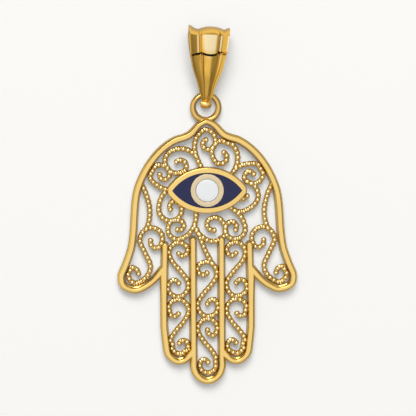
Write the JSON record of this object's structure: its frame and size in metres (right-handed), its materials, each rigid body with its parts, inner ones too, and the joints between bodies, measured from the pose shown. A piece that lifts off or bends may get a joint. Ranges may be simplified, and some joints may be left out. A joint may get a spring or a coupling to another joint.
{
  "type": "hamsa pendant",
  "caption": "Gold hamsa pendant: an open filigree hand of beaded scrolls with an enamelled eye, hung from a ring on a small fluted bail.",
  "frame": {"origin": "on the plane it lies on, under the middle of its length and width", "axes": "+X to the right across the hand seen from the front, +Y from the fingertips to the bail, +Z out of the face"},
  "size_m": [0.0162, 0.0322, 0.0029],
  "materials": {
    "gold": "polished yellow gold, a little darker in the crevices",
    "blue_enamel": "glossy navy enamel",
    "pale_gold": "glossy pale gold enamel",
    "white_enamel": "glossy white enamel"
  },
  "bodies": {
    "root": {"hand": "gold", "bail": "gold", "blue_enamel": "blue_enamel", "pupil_ring": "pale_gold", "white_enamel": "white_enamel"}
  },
  "joints": []
}
